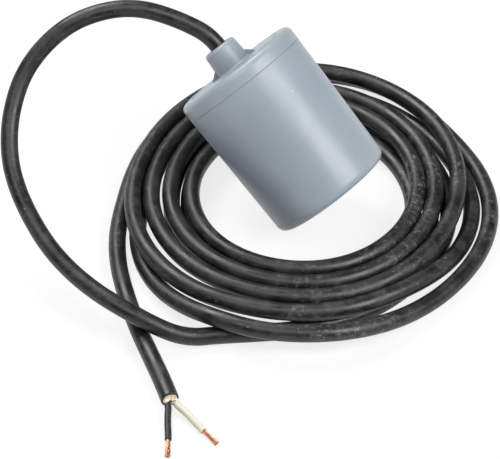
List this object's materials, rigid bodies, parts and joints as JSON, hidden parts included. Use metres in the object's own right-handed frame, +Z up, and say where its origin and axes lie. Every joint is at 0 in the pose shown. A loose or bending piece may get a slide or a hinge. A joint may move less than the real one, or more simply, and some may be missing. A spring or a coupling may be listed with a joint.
{
  "type": "tethered pump float switch",
  "caption": "Sealed grey float switch for a sump pump, leaning inside its long round black cord, which is coiled on the floor and ends in stripped wires.",
  "frame": {"origin": "on the floor under the middle of the float's box, the free cord and what is on it left out", "axes": "+Z up from the floor; the float leans up and back to the left, towards -X and +Y; the stripped wires lie towards -Y"},
  "size_m": [0.3146, 0.3549, 0.1337],
  "materials": {
    "float_plastic": "moulded satin",
    "cord_rubber": "extruded matt",
    "seal_rubber": "moulded matt",
    "potting_resin": "cast",
    "tube_plastic": "moulded natural",
    "pad_rubber": "cut sheet",
    "carrier_plastic": "moulded natural",
    "screw_steel": "zinc plated",
    "pin_steel": "ground",
    "switch_plastic": "moulded",
    "cover_plastic": "moulded",
    "terminal_brass": "stamped",
    "crimp_brass": "tinned",
    "black_insulation": "extruded",
    "white_insulation": "extruded",
    "ball_steel": "polished",
    "lever_steel": "rolled strip",
    "plunger_plastic": "moulded",
    "blade_bronze": "rolled strip",
    "bare_copper": "bare strands",
    "paper_filler": "torn paper"
  },
  "bodies": {
    "float": {"float_body": "float_plastic", "end_cap": "float_plastic", "cord_entry": "cord_rubber", "potting_plug": "potting_resin", "cord_seal": "seal_rubber", "ball_tube": "tube_plastic", "ball_stop_pad": "pad_rubber", "carrier_plate": "carrier_plastic", "carrier_screws": "screw_steel", "lever_pivot_pin": "pin_steel", "switch_housing": "switch_plastic", "switch_cover": "cover_plastic", "switch_screws": "screw_steel", "common_terminal": "terminal_brass", "open_contact_terminal": "terminal_brass", "crimp_black": "crimp_brass", "crimp_white": "crimp_brass", "inner_lead_black": "black_insulation", "inner_lead_white": "white_insulation", "cord_lead": "cord_rubber", "cord_coil": "cord_rubber", "cord_tail": "cord_rubber", "tail_wire_black": "black_insulation", "tail_wire_white": "white_insulation", "tail_strands_black": "bare_copper", "tail_strands_white": "bare_copper", "tail_filler": "paper_filler"},
    "ball": {"steel_ball": "ball_steel"},
    "lever": {"actuator_lever": "lever_steel"},
    "plunger": {"switch_plunger": "plunger_plastic"},
    "blade": {"contact_blade": "blade_bronze"}
  },
  "joints": [
    {"name": "ball_roll", "type": "slide", "parent": "float", "child": "ball", "axis": [-0.6162, 0.4298, 0.66], "range_m": [0, 0.014]},
    {"name": "lever_swing", "type": "hinge", "parent": "float", "child": "lever", "pos_m": [-0.00084, -0.00663, 0.05283], "axis": [-0.0218, -0.847, 0.5312], "range_deg": [0, 7]},
    {"name": "plunger_push", "type": "slide", "parent": "float", "child": "plunger", "axis": [-0.6162, 0.4298, 0.66], "range_m": [0, 0.000611]},
    {"name": "blade_flex", "type": "hinge", "parent": "float", "child": "blade", "pos_m": [0.00844, 0.00198, 0.06695], "axis": [0.0218, 0.847, -0.5312], "range_deg": [0, 2.8]}
  ],
  "couplings": [
    {"joint": "lever_swing", "follows": "ball_roll", "rad_per_m": 8.7266},
    {"joint": "plunger_push", "follows": "ball_roll", "ratio": 0.043593},
    {"joint": "blade_flex", "follows": "ball_roll", "rad_per_m": 3.4846}
  ]
}
